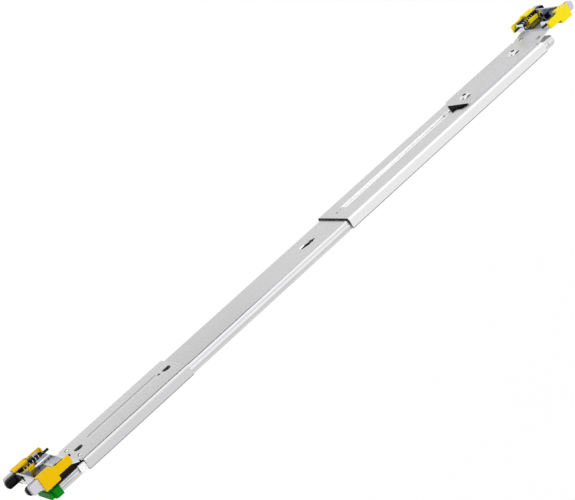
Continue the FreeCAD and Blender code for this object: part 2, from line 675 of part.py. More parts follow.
def add_bolt(label, reach):
    """Sliding half of a post: a hollowed tongue, a riser under the cover and the spring rod."""
    body = new_body(label)
    tip = size(reach) + size("bolt_tip")
    tail = riser_end
    bend = 3.2
    turn = bend * (1 - math.sqrt(0.5))
    plan = [(-tail, -bolt_in), (-tail, -bolt_out), (tip - bend, -bolt_out),
            (tip, -bolt_out + bend, tip - turn, -bolt_out + turn), (tip, -bolt_in - bend),
            (tip - bend, -bolt_in, tip - turn, -bolt_in - turn)]
    pad(body, draw_outline(new_sketch(body, "XY_Plane", BOLT_FLOOR), plan), f"({BOLT_ROOF}) - ({BOLT_FLOOR})")
    rim = size("bolt_rim")
    hollow = [(0.6, -bolt_in - rim), (0.6, -bolt_out + rim), (tip - bend, -bolt_out + rim),
              (tip - rim, -bolt_out + bend, tip - turn - rim * 0.7, -bolt_out + turn + rim * 0.7),
              (tip - rim, -bolt_in - bend),
              (tip - bend, -bolt_in - rim, tip - turn - rim * 0.7, -bolt_in - turn - rim * 0.7)]
    pocket(body, draw_outline(new_sketch(body, "XY_Plane", BOLT_FLOOR), hollow), both_ways=False,
           length=f"({BOLT_ROOF}) - ({BOLT_FLOOR}) - Sizes.bolt_rim", backwards=True)
    riser = new_sketch(body, "XY_Plane", BOLT_ROOF)
    draw_rectangle(riser, "-Sizes.riser_end", "-Sizes.riser_front", f"-{bolt_out}", f"-{bolt_in}")
    pad(body, riser, "Sizes.post_block + 2 * Sizes.latch_gap")
    rod = new_sketch(body, "YZ_Plane", f"-{tail}")
    draw_circle(rod, "-Sizes.post_offset", f"{rod_z}", "Sizes.rod_diameter")
    pad(body, rod, f"Sizes.head_depth + 6 - {tail}", backwards=True)
    return body


def add_slider(label):
    """Moulded block on the bolt's inner face, with its tail beside the spring."""
    body = new_body(label)
    plan = new_sketch(body, "XY_Plane", f"{BOLT_FLOOR} - Sizes.slider_rise")
    draw_rectangle(plan, "-Sizes.riser_end - Sizes.slider_length", "-Sizes.riser_front",
                   "-Sizes.post_offset - 0.5", "-Sizes.post_offset - 0.5 + Sizes.slider_width")
    pad(body, plan, "Sizes.slider_rise")
    inner_face = bolt_low - size("slider_rise")
    dress(body, "Fillet", lambda e: abs(e.CenterOfMass.z - inner_face) < 0.01, "0.6")
    return body


def add_spring(label):
    """Compression spring round the rod, between the frame's inner wall and the riser."""
    wire = size("spring_wire")
    start = -head_depth + size("bracket_gauge") + wire / 2 + 0.1
    length = -riser_end - start - wire / 2 - 0.1
    radius = (size("spring_diameter") - wire) / 2
    helix = Part.makeHelix(length / size("spring_turns"), length, radius)
    ring = Part.Wire(Part.makeCircle(wire / 2, V(radius, 0, 0), AXIS_Y))
    coil = Part.Wire(helix).makePipeShell([ring], True, True)
    coil.rotate(V(0, 0, 0), AXIS_Y, 90)
    coil.translate(V(start, post_y, rod_z))
    return solid(label, coil)


front_frame = add_frame("front_head_frame")
front_nut = add_nut("front_clinch_nut")
front_post = add_post("front_upper_post", "front_reach")
front_post_low = mirrored("front_lower_post", front_post, AXIS_Z)
front_screws = add_post_screws("front_post_screws")
front_cover = add_cover("front_upper_latch_cover")
front_cover_low = mirrored("front_lower_latch_cover", front_cover, AXIS_Z)
front_bolt = add_bolt("front_upper_latch_bolt", "front_reach")
front_bolt_low = mirrored("front_lower_latch_bolt", front_bolt, AXIS_Z)
front_slider = add_slider("front_upper_latch_slider")
front_slider_low = mirrored("front_lower_latch_slider", front_slider, AXIS_Z)
front_spring = add_spring("front_upper_latch_spring")
front_spring_low = mirrored("front_lower_latch_spring", front_spring, AXIS_Z)


def rivet(seat, towards, head, rise, shank, length):
    """Domed rivet head on a seat, with its shank behind it."""
    sink = (head ** 2 / 4 - rise ** 2) / (2 * rise)
    dome = Part.makeSphere(sink + rise, seat - towards * sink)
    dome = dome.common(Part.makeCylinder(head / 2, rise, seat, towards))
    return dome.fuse(Part.makeCylinder(shank / 2, length, seat, towards * -1))


outward = V(0, -1, 0)
small_head, small_rise, small_shank = 4.6, 1.0, 2.9
front_rivet_x = -size("rail_front") - 3.5
front_rivet_places = ((front_rivet_x, 10.6), (front_rivet_x, -14.3))
front_rivets = solid("front_bracket_rivets", Part.makeCompound([
    rivet(V(x, -wrap, z), outward, small_head, small_rise, small_shank, wrap)
    for x, z in front_rivet_places]))
holes = new_sketch(front_bracket, "XZ_Plane")
for x, z in front_rivet_places:
    draw_circle(holes, f"{x}", f"{z}", f"{small_shank} + 0.1")
pocket(front_bracket, holes, length="2 * Sizes.bracket_gauge + 1")

# black guide in the mouth between the head's side plate and the intermediate rail
guide = new_body("front_rail_guide")
guide_face = middle_web - clear
guide_end = -size("rail_front") + clear
guide_front, guide_bevel = -18.0, 4.0
guide_plan = [(guide_front, -step), (-head_depth, -step), (-size("front_edge"), 0.0), (guide_end, 0.0),
              (guide_end, guide_face), (guide_front - guide_bevel, guide_face),
              (guide_front, guide_face - 0.75 * guide_bevel)]
pad(guide, draw_outline(new_sketch(guide, "XY_Plane"), guide_plan), "2 * Sizes.guide_half", both_ways=True)

# stop for the outer ball cage on the rail's front end
stop_low = middle_top + clear
stop_back = -size("rail_front")
stop_high = half_height - size("race_rise")
stop_plan = [(stop_back, stop_low), (stop_back, stop_high), (stop_back + gauge, stop_high),
             (stop_back + 7.0, stop_low + gauge), (stop_back + 7.0, stop_low)]
cage_stop = new_body("front_cage_stop")
pad(cage_stop, draw_outline(new_sketch(cage_stop, "XZ_Plane", "-(Sizes.rail_depth - 1.4)"), stop_plan),
    "Sizes.rail_depth - 2.8")

# rear bracket: slides along the outer rail, guided by a headed pin in its slot
rear_bracket = new_body("rear_bracket")
channel = draw_outline(new_sketch(rear_bracket, "YZ_Plane", "-Sizes.rear_front"), wrap_section(clear))
pad(rear_bracket, channel, "Sizes.mount_span - Sizes.rear_fold - Sizes.rear_front", backwards=True)
slot = new_sketch(rear_bracket, "XZ_Plane")
draw_rectangle(slot, "-Sizes.slot_rear", "-Sizes.slot_front", "-Sizes.slot_level - Sizes.slot_width / 2",
               "-Sizes.slot_level + Sizes.slot_width / 2")
pocket(rear_bracket, slot, length="4 * Sizes.bracket_gauge")
sight = new_sketch(rear_bracket, "XZ_Plane")
for behind, across in ((9.0, 2.2), (14.0, 1.2)):                # two small holes ahead of the slot
    draw_circle(sight, f"-Sizes.rear_front - {behind}", "-Sizes.slot_level", f"{across}")
pocket(rear_bracket, sight, length="4 * Sizes.bracket_gauge")

# rear plate on the outside of the rear bracket, folded out to the rear mounting head
rear_face = -size("mount_span")
plate_inner = -clear - wrap
rear_plate = new_body("rear_end_plate")
plate_front = -size("rear_plate_front")
plate_rear = rear_face + size("rear_fold")
low = -half_height + 0.5
top = size("rear_plate_top")
nose_low, nose_lean = -12.5, 2.6                              # the front edge leans back towards its top
flat = new_sketch(rear_plate, "XZ_Plane", f"{-plate_inner}")
draw_outline(flat, [
    (plate_rear - 1.0, low),
    (plate_front - 5.0, low),
    (plate_front + nose_lean - 0.6, nose_low),
    (plate_front - 0.6, top - 2.0),
    (plate_front - 2.6, top),
    (plate_rear - 1.0, top),
])
pad(rear_plate, flat, "Sizes.bracket_gauge")
add_head(rear_plate, rear_face, 1, size("rear_fold"), plate_inner, size("rear_fold") + 3.0)
gusset_x = plate_rear - size("gusset_hole")
gusset_holes = new_sketch(rear_plate, "XZ_Plane")
for level in (14.5, -11.0):
    draw_circle(gusset_holes, f"{gusset_x}", f"{level}", "Sizes.gusset_hole")
pocket(rear_plate, gusset_holes, length="30")

def eyelet(x, level, seat, length):
    """Rolled eyelet: a flattened ring head with a sleeve through the sheets."""
    head, rise = size("eyelet_head"), 2.4
    shape = rivet(V(x, seat, level), outward, head, rise, size("eyelet_shank"), length)
    start = V(x, seat - 2 * rise, level)
    return shape.cut(cylinder(start, AXIS_Y, size("eyelet_bore"), 2 * rise + length + 1))


eyelet_level = -0.8
eyelet_places = [plate_front - size("eyelet_first") - size("eyelet_pitch") * k for k in range(2)]
plate_outer = plate_inner - wrap
rear_rivets = solid("rear_plate_rivets", Part.makeCompound([
    eyelet(x, eyelet_level, plate_outer, 2 * wrap) for x in eyelet_places]))
for piece in (rear_bracket, rear_plate):
    holes = new_sketch(piece, "XZ_Plane")
    for x in eyelet_places:
        draw_circle(holes, f"{x}", f"{eyelet_level}", "Sizes.eyelet_shank + 0.1")
    pocket(piece, holes, length="6 * Sizes.bracket_gauge")

# plastic stop at the rear end of the slot, pegged into the bracket
stop_peg, peg_x, peg_z = 2.6, plate_front + 4.6, 3.0
depth_stop = new_body("depth_stop")
stop_outline = [
    (plate_front + 2.3, nose_low + 0.5),
    (plate_front + 11.8, 2.8),
    (plate_front + 6.4, 4.5),
    (plate_front + 5.4, 11.8),
    (plate_front - 0.2, 15.0),
]
pad(depth_stop, draw_outline(new_sketch(depth_stop, "XZ_Plane", f"{-plate_inner}"), stop_outline),
    "Sizes.bracket_gauge")
peg = new_sketch(depth_stop, "XZ_Plane", f"{-plate_inner}")
draw_circle(peg, f"{peg_x}", f"{peg_z}", f"{stop_peg}")
pad(depth_stop, peg, "Sizes.bracket_gauge - 0.1", backwards=True)
holes = new_sketch(rear_bracket, "XZ_Plane")
draw_circle(holes, f"{peg_x}", f"{peg_z}", f"{stop_peg} + 0.1")
pocket(rear_bracket, holes, length="4 * Sizes.bracket_gauge")

depth_pin_x = -size("slot_rear") + size("pin_place")
pin_neck = size("slot_width") - 0.4
pin_seat = V(depth_pin_x, 0, -size("slot_level"))
pin_under = 2 * clear + wrap
depth_pin = solid("depth_slide_pin", cylinder(pin_seat, outward, pin_neck, pin_under).fuse(
    cylinder(pin_seat + outward * pin_under, outward, size("pin_head"), 1.0)))

# rear head: the front head's pieces, mirrored
frame_blank = add_frame("rear_frame_blank", window=True)
rear_frame = mirrored("rear_head_frame", frame_blank, AXIS_X, MID_PLANE)
rear_nut = mirrored("rear_clinch_nut", front_nut, AXIS_X, MID_PLANE)
rear_screws = mirrored("rear_post_screws", front_screws, AXIS_X, MID_PLANE)
post_blank = add_post("rear_post_blank", "rear_reach")
rear_post = mirrored("rear_upper_post", post_blank, AXIS_X, MID_PLANE)
rear_post_low = mirrored("rear_lower_post", rear_post, AXIS_Z)
rear_cover = mirrored("rear_upper_latch_cover", front_cover, AXIS_X, MID_PLANE)
rear_cover_low = mirrored("rear_lower_latch_cover", rear_cover, AXIS_Z)
bolt_blank = add_bolt("rear_bolt_blank", "rear_reach")
rear_bolt = mirrored("rear_upper_latch_bolt", bolt_blank, AXIS_X, MID_PLANE)
rear_bolt_low = mirrored("rear_lower_latch_bolt", rear_bolt, AXIS_Z)
rear_slider = mirrored("rear_upper_latch_slider", front_slider, AXIS_X, MID_PLANE)
rear_slider_low = mirrored("rear_lower_latch_slider", rear_slider, AXIS_Z)
rear_spring = mirrored("rear_upper_latch_spring", front_spring, AXIS_X, MID_PLANE)
rear_spring_low = mirrored("rear_lower_latch_spring", rear_spring, AXIS_Z)

# stops at the rear of the slide
bumper_thick, bumper_half = 3.0, 9.0
middle_rear = -(size("middle_front") + size("middle_length"))
bumper = new_body("intermediate_bumper")
pad(bumper, draw_rectangle(new_sketch(bumper, "YZ_Plane", f"{middle_rear}"), f"{middle_web} + 0.2",
                           "Sizes.rail_depth - 2", f"-{bumper_half}", f"{bumper_half}"),
    f"{bumper_thick}", backwards=True)
stop_x = middle_rear - bumper_thick - clear
rear_stop = new_body("rear_stop_tab")
stop_foot, stop_width = 12.0, 14.0
stop_plan = [(stop_x, gauge), (stop_x, depth - 2.0), (stop_x - gauge, depth - 2.0),
             (stop_x - gauge, 2 * gauge), (stop_x - stop_foot, 2 * gauge), (stop_x - stop_foot, gauge)]
pad(rear_stop, draw_outline(new_sketch(rear_stop, "XY_Plane"), stop_plan), f"{stop_width}", both_ways=True)

# front cap and release lever, carried by the chassis rail
turn = math.sqrt(0.5)
cap = new_body("front_cap")
cap_rear = -size("middle_front") + clear
cap_front = cap_rear + size("cap_length")
cap_out = middle_web + 0.4
cap_in = cap_out + size("cap_width")
cap_wall = 1.2
pin_x, pin_z = cap_front - 2.6, size("pin_level")
arch = 3.0
cap_low, cap_high = size("cap_bottom"), size("cap_top")
cap_side = [(cap_rear, cap_low), (cap_rear, cap_high), (cap_front - arch, cap_high),
            (cap_front, cap_high - arch, cap_front - arch * (1 - turn), cap_high - arch * (1 - turn)),
            (cap_front, pin_z - 1.0), (cap_front - 2.2, cap_low)]
pad(cap, draw_outline(new_sketch(cap, "XZ_Plane", f"-{cap_in}"), cap_side), "Sizes.cap_width")
tongue = new_sketch(cap, "YZ_Plane", f"{cap_rear}")
draw_rectangle(tongue, f"{middle_web + gauge + 1.3}", f"{chassis_face - gauge}", "Sizes.cap_bottom",
               f"{chassis_under}")
pad(cap, tongue, "12", backwards=True)
mouth = new_sketch(cap, "XZ_Plane", f"-{cap_in - cap_wall}")
draw_outline(mouth, [(pin_x - 3.2, cap_low - 1), (pin_x - 3.2, pin_z + 3.2), (cap_front + 1, pin_z + 3.2),
                     (cap_front + 1, cap_low - 1)])
pocket(cap, mouth, both_ways=False, length=f"Sizes.cap_width - {2 * cap_wall}", backwards=True)
bore = new_sketch(cap, "XZ_Plane")
draw_circle(bore, f"{pin_x}", f"{pin_z}", "Sizes.pin_diameter")
pocket(cap, bore, length="60")

lever = new_body("release_lever")
boss_width = size("cap_width") - 2 * cap_wall - 2 * clear
cap_centre = (cap_out + cap_in) / 2
paddle_back = cap_front + 1.0
boss_radius = 2.5
boss = draw_outline(new_sketch(lever, "XZ_Plane", f"-{cap_centre}"), [
    (pin_x, pin_z - boss_radius), (pin_x, pin_z + boss_radius, pin_x - boss_radius, pin_z),
    (paddle_back + 0.6, pin_z + boss_radius), (paddle_back + 0.6, pin_z - boss_radius)])
pad(lever, boss, f"{boss_width}", both_ways=True)
lever_out, lever_in = cap_centre - size("lever_width") / 2, cap_centre + size("lever_width") / 2
lever_high, lever_low = size("lever_top"), -size("lever_bottom")
paddle = draw_outline(new_sketch(lever, "YZ_Plane", f"{paddle_back}"), [
    (lever_in - 1.5, lever_low), (lever_in, lever_low + 1.5, lever_in - 0.44, lever_low + 0.44),
    (lever_in, lever_high - 2.0), (lever_in - 2.0, lever_high, lever_in - 0.59, lever_high - 0.59),
    (lever_out + 2.0, lever_high), (lever_out, lever_high - 2.0, lever_out + 0.59, lever_high - 0.59),
    (lever_out, 4.0), (lever_in - 3.0, lever_low)])
pad(lever, paddle, "Sizes.lever_gauge")
bore = new_sketch(lever, "XZ_Plane")
draw_circle(bore, f"{pin_x}", f"{pin_z}", "Sizes.pin_diameter + 0.1")
pocket(lever, bore, length="60")
lever_pin = solid("release_lever_pin",
                  cylinder(V(pin_x, cap_out, pin_z), AXIS_Y, size("pin_diameter"), size("cap_width")))

leaf = 0.4
leaf_spring = new_body("release_spring")
leaf_side = [(cap_rear - 11.0, cap_low), (cap_rear + 2.0, cap_low), (paddle_back - 0.15, -2.0),
             (paddle_back - 0.55, -2.0), (cap_rear + 1.8, cap_low - leaf), (cap_rear - 11.0, cap_low - leaf)]
pad(leaf_spring, draw_outline(new_sketch(leaf_spring, "XZ_Plane", f"-{cap_centre + 1.6}"), leaf_side), "3.2")

# ------------------------------------------------------------------------------------------ export
blanks = {"rear_post_blank", "rear_bolt_blank", "rear_frame_blank"}
doc.recompute()
for item in doc.Objects:
    if "Invalid" in item.State or "Error" in item.State:
        raise RuntimeError(f"{item.Label} did not rebuild: {item.State}")
kinds = ("PartDesign::Body", "Part::Mirroring", "Part::Feature")
nodes = [item for item in doc.Objects if item.TypeId in kinds and item.Label not in blanks]
for item in nodes:
    if item.Shape.isNull() or not item.Shape.isValid() or not item.Shape.Solids:
        raise RuntimeError(f"{item.Label} has no sound solid")
for item in nodes:
    item.Shape.exportStep(f"parts/{item.Label}.step")
    box = item.Shape.BoundBox
    spans = ((box.XMin, box.XMax), (box.YMin, box.YMax), (box.ZMin, box.ZMax))
    reach = "  ".join(f"{axis} {low:.1f} {high:.1f}" for axis, (low, high) in zip("XYZ", spans))
    print(f"{item.Label:26s} {len(item.Shape.Solids):3d} solids {item.Shape.Volume:10.1f} mm3  {reach}")
print(len(nodes), "nodes")
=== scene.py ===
import bmesh
import bpy
import json
import numpy as np
from mathutils import Matrix, Vector


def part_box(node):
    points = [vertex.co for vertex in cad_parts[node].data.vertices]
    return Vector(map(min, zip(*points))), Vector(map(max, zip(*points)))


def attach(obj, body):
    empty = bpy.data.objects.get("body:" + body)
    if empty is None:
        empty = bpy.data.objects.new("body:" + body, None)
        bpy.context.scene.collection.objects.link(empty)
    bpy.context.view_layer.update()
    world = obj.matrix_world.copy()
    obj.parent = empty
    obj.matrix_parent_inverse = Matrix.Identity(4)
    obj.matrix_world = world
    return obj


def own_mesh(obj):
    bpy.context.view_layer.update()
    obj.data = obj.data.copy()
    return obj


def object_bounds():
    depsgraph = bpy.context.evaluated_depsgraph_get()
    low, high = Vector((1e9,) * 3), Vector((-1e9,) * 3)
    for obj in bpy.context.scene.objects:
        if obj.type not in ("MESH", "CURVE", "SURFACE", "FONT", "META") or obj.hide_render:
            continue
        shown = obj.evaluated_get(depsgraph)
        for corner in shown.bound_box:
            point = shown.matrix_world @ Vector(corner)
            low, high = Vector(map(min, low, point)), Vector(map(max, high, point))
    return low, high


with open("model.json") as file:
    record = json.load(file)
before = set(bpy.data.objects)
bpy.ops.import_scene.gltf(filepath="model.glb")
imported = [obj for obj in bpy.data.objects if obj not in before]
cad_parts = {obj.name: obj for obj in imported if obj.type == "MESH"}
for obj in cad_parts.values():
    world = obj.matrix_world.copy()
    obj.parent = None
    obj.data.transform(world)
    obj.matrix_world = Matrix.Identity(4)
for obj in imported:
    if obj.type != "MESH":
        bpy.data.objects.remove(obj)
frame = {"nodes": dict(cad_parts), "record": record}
nodes = frame["nodes"]


def asLists(bounds):
    return [[float(v) for v in corner] for corner in bounds]


cadBounds = asLists(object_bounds())
print("stage: frame loaded,", len(nodes), "nodes")


# small helpers for node trees
def newGroup(name, inputs, outputs):
    group = bpy.data.node_groups.new(name, "ShaderNodeTree")
    for label, kind, value in inputs:
        socket = group.interface.new_socket(name=label, in_out="INPUT", socket_type=kind)
        socket.default_value = value
    for label, kind in outputs:
        group.interface.new_socket(name=label, in_out="OUTPUT", socket_type=kind)
    return group, group.nodes.new("NodeGroupInput"), group.nodes.new("NodeGroupOutput")


def addNode(tree, kind, **settings):
    node = tree.nodes.new(kind)
    for key, value in settings.items():
        setattr(node, key, value)
    return node


def wire(tree, source, target):
    tree.links.new(source, target)


def feed(tree, value, socket):
    if isinstance(value, bpy.types.NodeSocket):
        tree.links.new(value, socket)
    else:
        socket.default_value = value


# math and vector math nodes whose inputs are sockets or plain values
def sums(tree, operation, *values):
    node = addNode(tree, "ShaderNodeMath", operation=operation)
    for index, value in enumerate(values):
        feed(tree, value, node.inputs[index])
    return node.outputs["Value"]


def vectors(tree, operation, *values):
    node = addNode(tree, "ShaderNodeVectorMath", operation=operation)
    for index, value in enumerate(values):
        feed(tree, value, node.inputs[index])
    return node.outputs["Vector"]


def noise(tree, vector, scale, detail=2.0):
    node = addNode(tree, "ShaderNodeTexNoise")
    feed(tree, vector, node.inputs["Vector"])
    feed(tree, scale, node.inputs["Scale"])
    node.inputs["Detail"].default_value = detail
    return node.outputs["Fac"]


def ramp(tree, value, low, high, bottom=0.0, top=1.0):
    node = addNode(tree, "ShaderNodeMapRange")
    node.clamp = True
    for socket, amount in zip(node.inputs[:5], (value, low, high, bottom, top)):
        feed(tree, amount, socket)
    return node.outputs["Result"]


def blend(tree, share, first, second):
    node = addNode(tree, "ShaderNodeMix", data_type="RGBA")
    feed(tree, share, node.inputs["Factor"])
    feed(tree, first, node.inputs[6])             # 6, 7 and 2 are the node's colour sockets
    feed(tree, second, node.inputs[7])
    return node.outputs[2]


plainGrey = (0.8, 0.8, 0.8, 1)
colourIn = ("Colour", "NodeSocketColor", plainGrey)
colourOut = ("Colour", "NodeSocketColor")
surfaceIn = [("Depth", "NodeSocketFloat", 0.1), colourIn, ("Rough", "NodeSocketFloat", 0.35)]
surfaceOut = [colourOut, ("Rough", "NodeSocketFloat"), ("Height", "NodeSocketFloat")]
roughShare = 0.5                                  # how far the roughness follows the tone


# colour times one plus the change, roughness plus its share of the change, and the height
def leaveSurface(group, enter, leave, change, height):
    shift = sums(group, "MULTIPLY", change, enter.outputs["Depth"])
    tinted = addNode(group, "ShaderNodeVectorMath", operation="SCALE")
    wire(group, enter.outputs["Colour"], tinted.inputs[0])
    wire(group, sums(group, "ADD", shift, 1.0), tinted.inputs["Scale"])
    wire(group, tinted.outputs["Vector"], leave.inputs["Colour"])
    rougher = sums(group, "MULTIPLY", shift, roughShare)
    wire(group, sums(group, "ADD", enter.outputs["Rough"], rougher), leave.inputs["Rough"])
    wire(group, height, leave.inputs["Height"])


# rolled sheet: streaks drawn out along X, a fine grain and a cloudy change of tone; scales per metre
mill = {"streakDetail": 3.0, "grain": 1500.0, "cloud": 22.0, "grainHeight": 0.5}


def buildMillGrain():
    scales = [("Along", "NodeSocketFloat", 6.0), ("Across", "NodeSocketFloat", 900.0)]
    group, enter, leave = newGroup("millGrain", scales + surfaceIn, surfaceOut)
    place = addNode(group, "ShaderNodeTexCoord").outputs["Object"]
    stretch = addNode(group, "ShaderNodeCombineXYZ")
    wire(group, enter.outputs["Along"], stretch.inputs["X"])
    wire(group, enter.outputs["Across"], stretch.inputs["Y"])
    wire(group, enter.outputs["Across"], stretch.inputs["Z"])
    drawn = vectors(group, "MULTIPLY", place, stretch.outputs["Vector"])
    streak = noise(group, drawn, 1.0, mill["streakDetail"])
    grain = noise(group, place, mill["grain"])
    cloud = noise(group, place, mill["cloud"])
    # each noise is 0.5 on average, so the three together are brought back to nought
    total = sums(group, "ADD", sums(group, "ADD", streak, grain), cloud)
    change = sums(group, "SUBTRACT", total, 1.5)
    height = sums(group, "ADD", streak, sums(group, "MULTIPLY", grain, mill["grainHeight"]))
    leaveSurface(group, enter, leave, change, height)
    return group


# fine mottle and pits, for paint, castings and moulded plastic
speckle = {"detail": 4.0, "broad": 60.0}


def buildMottle():
    group, enter, leave = newGroup("mottle", [("Scale", "NodeSocketFloat", 400.0)] + surfaceIn, surfaceOut)
    place = addNode(group, "ShaderNodeTexCoord").outputs["Object"]
    grain = noise(group, place, enter.outputs["Scale"], speckle["detail"])
    broad = noise(group, place, speckle["broad"])
    change = sums(group, "SUBTRACT", sums(group, "ADD", grain, broad), 1.0)
    leaveSurface(group, enter, leave, change, grain)
    return group


# painted light and shade on faces that look along X: painted shade on the rear bracket's cut edges, a painted
# highlight on the frames' rims
def buildFacingTone():
    rimIn = [("Rim", "NodeSocketColor", (0.1, 0.1, 0.1, 1)), ("From", "NodeSocketFloat", 0.8),
             ("To", "NodeSocketFloat", 0.95)]
    group, enter, leave = newGroup("facingTone", [colourIn] + rimIn, [colourOut])
    facing = addNode(group, "ShaderNodeSeparateXYZ")
    wire(group, addNode(group, "ShaderNodeTexCoord").outputs["Normal"], facing.inputs["Vector"])
    mask = ramp(group, facing.outputs["X"], enter.outputs["From"], enter.outputs["To"])
    wire(group, blend(group, mask, enter.outputs["Colour"], enter.outputs["Rim"]), leave.inputs["Colour"])
    return group


# a patch of another tone inside a box, for painted highlights, painted shade along edges and painted light on
# flanges: the mask rises from nought at the box's side to one at the soft distance inside it
def buildPatch():
    boxIn = [("Tone", "NodeSocketColor", plainGrey), ("Centre", "NodeSocketVector", (0, 0, 0)),
             ("Half", "NodeSocketVector", (1, 1, 1)), ("Soft", "NodeSocketFloat", 0.0001)]
    group, enter, leave = newGroup("patch", [colourIn] + boxIn, [colourOut, ("Mask", "NodeSocketFloat")])
    place = addNode(group, "ShaderNodeTexCoord").outputs["Object"]
    away = vectors(group, "ABSOLUTE", vectors(group, "SUBTRACT", place, enter.outputs["Centre"]))
    room = addNode(group, "ShaderNodeSeparateXYZ")
    wire(group, vectors(group, "SUBTRACT", enter.outputs["Half"], away), room.inputs["Vector"])
    least = sums(group, "MINIMUM", sums(group, "MINIMUM", room.outputs["X"], room.outputs["Y"]),
                 room.outputs["Z"])
    mask = ramp(group, least, 0.0, enter.outputs["Soft"])
    wire(group, mask, leave.inputs["Mask"])
    wire(group, blend(group, mask, enter.outputs["Colour"], enter.outputs["Tone"]), leave.inputs["Colour"])
    return group


# thin scratches that handling leaves, lighter than the surface: stretched noise lines, kept where
# a broad noise is high
scratch = {"turn": (0.2, 0.5, 0.3), "stretch": (18.0, 260.0, 260.0), "lineLevels": (0.70, 0.74),
           "broad": 35.0, "broadLevels": (0.5, 0.65), "tone": (0.95, 0.95, 0.95, 1)}


def buildScratches():
    group, enter, leave = newGroup("scratches", [colourIn, ("Amount", "NodeSocketFloat", 0.2)], [colourOut])
    place = addNode(group, "ShaderNodeTexCoord").outputs["Object"]
    turned = addNode(group, "ShaderNodeMapping")
    turned.inputs["Rotation"].default_value = scratch["turn"]
    turned.inputs["Scale"].default_value = scratch["stretch"]
    wire(group, place, turned.inputs["Vector"])
    lines = ramp(group, noise(group, turned.outputs["Vector"], 1.0, 1.0), *scratch["lineLevels"])
    areas = ramp(group, noise(group, place, scratch["broad"], 1.0), *scratch["broadLevels"])
    mask = sums(group, "MULTIPLY", sums(group, "MULTIPLY", lines, areas), enter.outputs["Amount"])
    wire(group, blend(group, mask, enter.outputs["Colour"], scratch["tone"]), leave.inputs["Colour"])
    return group


millGrain = buildMillGrain()
mottle = buildMottle()
facingTone = buildFacingTone()
scratches = buildScratches()
patch = buildPatch()
bumpDistance = 0.0001


def placeGroup(tree, group, values):
    effect = addNode(tree, "ShaderNodeGroup")
    effect.node_tree = group
    for key, value in values.items():
        feed(tree, value, effect.inputs[key])
    return effect


# one finish: its effect, then scratches, patches of painted light and shade, and a painted rim tone on faces
# that look along X, over its colour where it has them
def finishMaterial(name, group, values, metallic, bump, specular=0.5, rim=None, worn=0.0, patches=()):
    material = bpy.data.materials.new(name)
    material.use_nodes = True
    tree = material.node_tree
    shader = tree.nodes["Principled BSDF"]
    effect = placeGroup(tree, group, values)
    tone = effect.outputs["Colour"]
    if worn:
        tone = placeGroup(tree, scratches, {"Colour": tone, "Amount": worn}).outputs["Colour"]
    shader.inputs["Metallic"].default_value = metallic
    for shade, low, high, *highlightMetallic in patches:
        low, high = np.array(low) / 1000.0, np.array(high) / 1000.0
        spot = placeGroup(tree, patch, {"Colour": tone, "Tone": shade, "Centre": (low + high) / 2,
                                        "Half": (high - low) / 2})
        tone = spot.outputs["Colour"]
        if highlightMetallic:                                # a painted highlight: the patch made pale and dull
            wire(tree, ramp(tree, spot.outputs["Mask"], 0.0, 1.0, metallic, highlightMetallic[0]),
                 shader.inputs["Metallic"])
    if rim:
        edge = {"Colour": tone, "Rim": rim[0], "From": rim[1], "To": rim[2]}
        tone = placeGroup(tree, facingTone, edge).outputs["Colour"]
    wire(tree, tone, shader.inputs["Base Color"])
    wire(tree, effect.outputs["Rough"], shader.inputs["Roughness"])
    lift = addNode(tree, "ShaderNodeBump")
    lift.inputs["Strength"].default_value = bump
    lift.inputs["Distance"].default_value = bumpDistance
    wire(tree, effect.outputs["Height"], lift.inputs["Height"])
    wire(tree, lift.outputs["Normal"], shader.inputs["Normal"])
    shader.inputs["Specular IOR Level"].default_value = specular
    return material


def colour(red, green, blue):
    return (red, green, blue, 1.0)


def rolled(tone, rough, along=8.0, across=700.0, depth=0.10):
    return {"Along": along, "Across": across, "Depth": depth, "Colour": tone, "Rough": rough}


def moulded(tone, rough, scale=900.0, depth=0.08):
    return {"Scale": scale, "Depth": depth, "Colour": tone, "Rough": rough}


# patches by piece, in millimetres, all painted light and shade: tone, lowest corner, highest corner and,
# for a pale painted highlight, the dull metallic value left
flange = {"level": 22.6, "edge": 0.9, "front": (-169, -41), "rear": (-684, -382)}
frontEdge, rearEdge = (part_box(node)[1].y * 1000 for node in ("front_bracket", "rear_bracket"))
# tone of the painted shade line along each flange's inner edge
flangeEdgeShade = colour(0.30, 0.30, 0.31)


# the painted light tone over a bracket's whole top flange and the painted shade line along the flange's inner
# edge
def flangeLightAndShade(tone, span, inner):
    return [(tone, (span[0], -3, flange["level"]), (span[1], 30, 30)),
            (flangeEdgeShade, (span[0], inner - flange["edge"], flange["level"]), (span[1], 30, 30))]


patchwork = {
    "front_bracket": flangeLightAndShade(colour(0.62, 0.62, 0.63), flange["front"], frontEdge) + [
        (colour(0.33, 0.33, 0.34), (-150, -3, -7.0), (-66, 1, -5.2)),              # painted shade under the bead
        (colour(0.02, 0.02, 0.02), (-41.8, -3, 19), (-40.2, 30, 30))],             # painted shadow at the flange's front end
    "rear_bracket": flangeLightAndShade(colour(0.78, 0.78, 0.79), flange["rear"], rearEdge) + [
        (colour(0.86, 0.86, 0.86), (-565, -3, -7.4), (-399.8, 3, 1.6), 0.1)],      # painted highlight round the slot, pale and dull
    # painted highlight: a pale, dull glint at the arrow's tail
    "outer_rail": [(colour(0.97, 0.97, 0.97), (-343, -1, -4.2), (-336.5, 1, -1.0), 0.1)],
    # painted shade: a black band along the eyelets' lower rims and a grey band along their upper rims
    "rear_plate_rivets": [(colour(0.01, 0.01, 0.01), (-700, -10, -7.6), (-500, 10, -5.3)),
                          (colour(0.12, 0.12, 0.13), (-700, -10, 4.1), (-500, 10, 6.2))],
    # painted light: the frame's rear end made pale, against the painted shade of the rest of the frame
    "front_head_frame": [(colour(0.62, 0.63, 0.66), (-31, -30, -30), (-22, 30, 30))],
}
